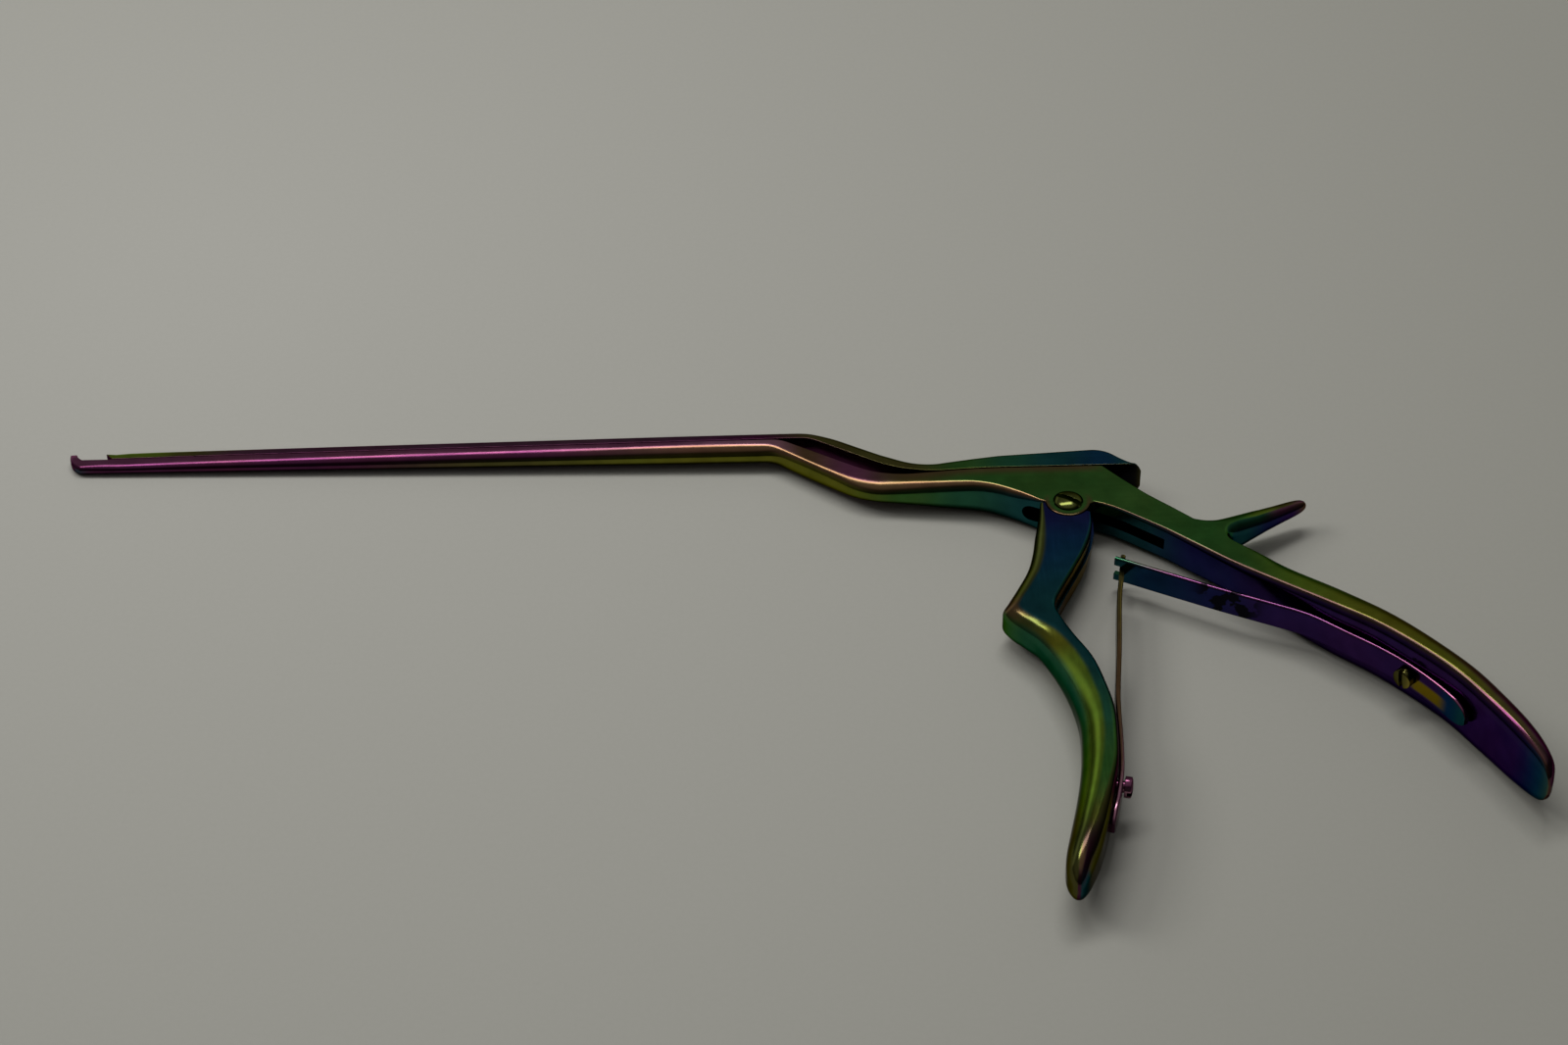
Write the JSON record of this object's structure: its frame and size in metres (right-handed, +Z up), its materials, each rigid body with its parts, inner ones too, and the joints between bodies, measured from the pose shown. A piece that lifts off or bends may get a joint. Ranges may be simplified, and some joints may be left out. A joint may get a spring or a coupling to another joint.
{
  "type": "kerrison rongeur",
  "caption": "Bayonet Kerrison rongeur lying on its side: a sliding upper shaft bites against an upturned footplate, driven by a pivoted front handle with hooked leaf springs.",
  "frame": {"origin": "centre of the bounding box in X and Y, on the surface that the instrument lies on", "axes": "+X from the jaw towards the handles, +Y across the shaft towards the slider, +Z up off the surface; lying on jaw tip, slider hump and rear grip tilts the middle plane by 2.1 degrees"},
  "size_m": [0.3076, 0.1374, 0.0159],
  "materials": {
    "coated_frame": "satin, interference-coloured green to violet",
    "coated_slider": "satin, interference-coloured magenta to green",
    "coated_handle": "satin, interference-coloured teal to green",
    "coated_screw": "polished, interference-coloured gold and green",
    "coated_rear_spring": "satin, interference-coloured navy to violet",
    "coated_front_spring": "satin, interference-coloured bronze to magenta",
    "coated_spring_screw": "satin, interference-coloured",
    "bright_steel": "ground"
  },
  "bodies": {
    "frame": {"frame": "coated_frame", "pivot_screw": "coated_screw", "rear_spring": "coated_rear_spring", "rear_spring_screw": "coated_spring_screw"},
    "front_handle": {"front_handle": "coated_handle", "front_spring": "coated_front_spring", "front_spring_screw": "coated_spring_screw"},
    "slider": {"slider": "coated_slider", "drive_pin": "bright_steel"}
  },
  "joints": [
    {"name": "handle_pivot", "type": "hinge", "parent": "frame", "child": "front_handle", "pos_m": [0.06495, 0.04064, 0.00493], "axis": [-0.0135, 0.0343, 0.9993], "range_deg": [0, 27.25], "stiffness_Nm_per_rad": 0.8, "springref_deg": -5.73, "deforming": ["rear_spring", "front_spring"]},
    {"name": "slider_travel", "type": "slide", "parent": "frame", "child": "slider", "axis": [-0.9999, 0, -0.0135], "range_m": [0, 0.0064]}
  ],
  "couplings": [
    {"joint": "slider_travel", "follows": "handle_pivot", "m_per_rad": 0.013456}
  ]
}
